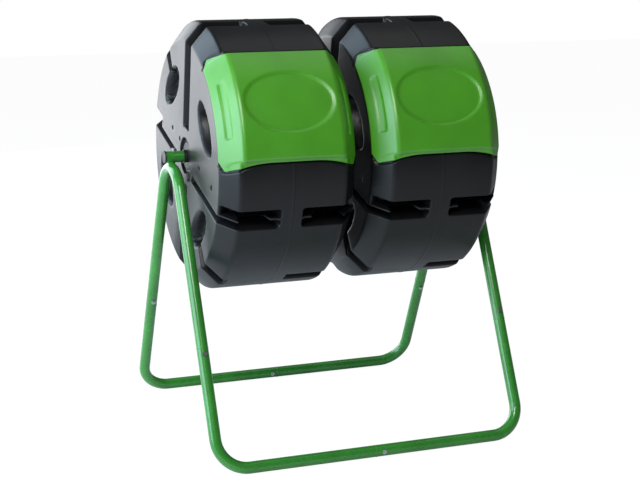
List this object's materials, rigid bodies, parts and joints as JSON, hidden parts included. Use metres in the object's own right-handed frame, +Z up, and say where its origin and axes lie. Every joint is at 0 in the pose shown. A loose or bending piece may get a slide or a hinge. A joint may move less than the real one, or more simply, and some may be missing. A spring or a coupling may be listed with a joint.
{
  "type": "compost tumbler",
  "caption": "Tumbling composter: separate round plastic drums with pull-off doors, turning side by side on a shared axle across a bolted steel tube stand.",
  "frame": {"origin": "on the ground, under the middle of the axle", "axes": "+Z up, +X along the axle towards the right-hand drum; the doors face -Y at rest"},
  "size_m": [0.726, 0.6738, 0.9115],
  "materials": {
    "black_shell": "fine moulded grain, satin",
    "green_door": "moulded, soft gloss",
    "green_steel": "glossy powder coat",
    "bright_steel": "zinc plated",
    "axle_steel": "plain drawn tube",
    "dark_steel": "black oxide",
    "black_trim": "smooth moulded nylon"
  },
  "bodies": {
    "stand": {"axle_tube": "axle_steel", "front_left_leg": "green_steel", "front_right_leg": "green_steel", "left_arch": "green_steel", "left_axle_sleeve": "green_steel", "left_end_cap": "black_trim", "left_outer_spacer": "black_trim", "leg_bolts": "bright_steel", "leg_nuts": "bright_steel", "middle_spacer": "black_trim", "rail_bolts": "bright_steel", "rail_nuts": "bright_steel", "rear_left_leg": "green_steel", "rear_right_leg": "green_steel", "right_arch": "green_steel", "right_axle_sleeve": "green_steel", "right_end_cap": "black_trim", "right_outer_spacer": "black_trim", "sleeve_set_screws": "bright_steel"},
    "left_drum": {"left_upper_shell": "black_shell", "left_lower_shell": "black_shell", "left_shell_screws": "dark_steel", "left_bushing_left": "black_trim", "left_bushing_right": "black_trim"},
    "right_drum": {"right_upper_shell": "black_shell", "right_lower_shell": "black_shell", "right_shell_screws": "dark_steel", "right_bushing_left": "black_trim", "right_bushing_right": "black_trim"},
    "left_hatch": {"left_door": "green_door"},
    "right_hatch": {"right_door": "green_door"}
  },
  "joints": [
    {"name": "left_drum_spin", "type": "hinge", "parent": "stand", "child": "left_drum", "pos_m": [-0.1675, 0, 0.62], "axis": [1, 0, 0], "continuous": true},
    {"name": "left_door_lift", "type": "slide", "parent": "left_drum", "child": "left_hatch", "axis": [0, -0.885, 0.4656], "range_m": [0, 0.2]},
    {"name": "right_drum_spin", "type": "hinge", "parent": "stand", "child": "right_drum", "pos_m": [0.1675, 0, 0.62], "axis": [1, 0, 0], "continuous": true},
    {"name": "right_door_lift", "type": "slide", "parent": "right_drum", "child": "right_hatch", "axis": [0, -0.885, 0.4656], "range_m": [0, 0.2]}
  ]
}
